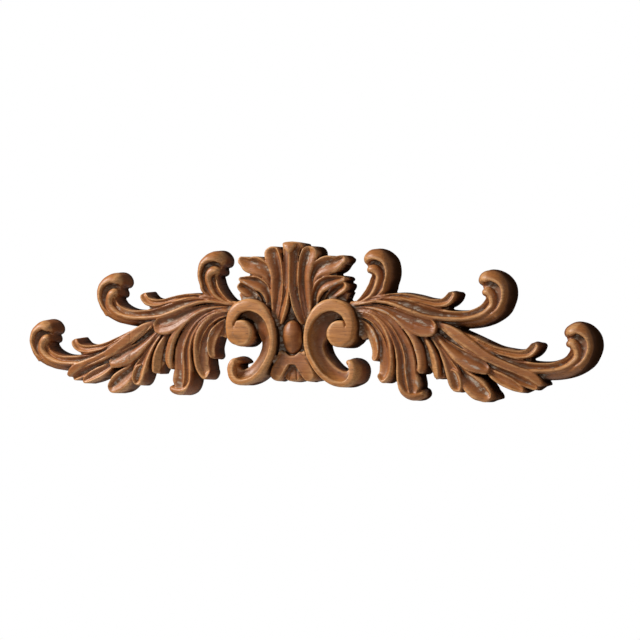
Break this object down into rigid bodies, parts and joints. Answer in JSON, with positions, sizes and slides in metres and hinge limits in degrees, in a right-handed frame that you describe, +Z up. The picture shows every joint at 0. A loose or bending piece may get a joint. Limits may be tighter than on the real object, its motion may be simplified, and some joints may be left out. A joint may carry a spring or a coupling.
{
  "type": "carved wood overdoor ornament",
  "caption": "Long carved wood overdoor relief: palmette crown over a bead between facing C scrolls, with leafy tendrils curling out to each side.",
  "frame": {"origin": "centre of the flat back face, on the centre line between the C scrolls, at the height of the bead's upper end", "axes": "+Y out of the flat back into the wall, so the carving faces -Y; +Z up; +X to the right for someone facing the carving"},
  "size_m": [0.7869, 0.0433, 0.2031],
  "materials": {
    "carved_wood": "red-brown stained wood under an old soft wax polish, darker in the deep cuts, with pale dust and wax in the grooves"
  },
  "bodies": {
    "root": {"carved_ornament": "carved_wood"}
  },
  "joints": []
}
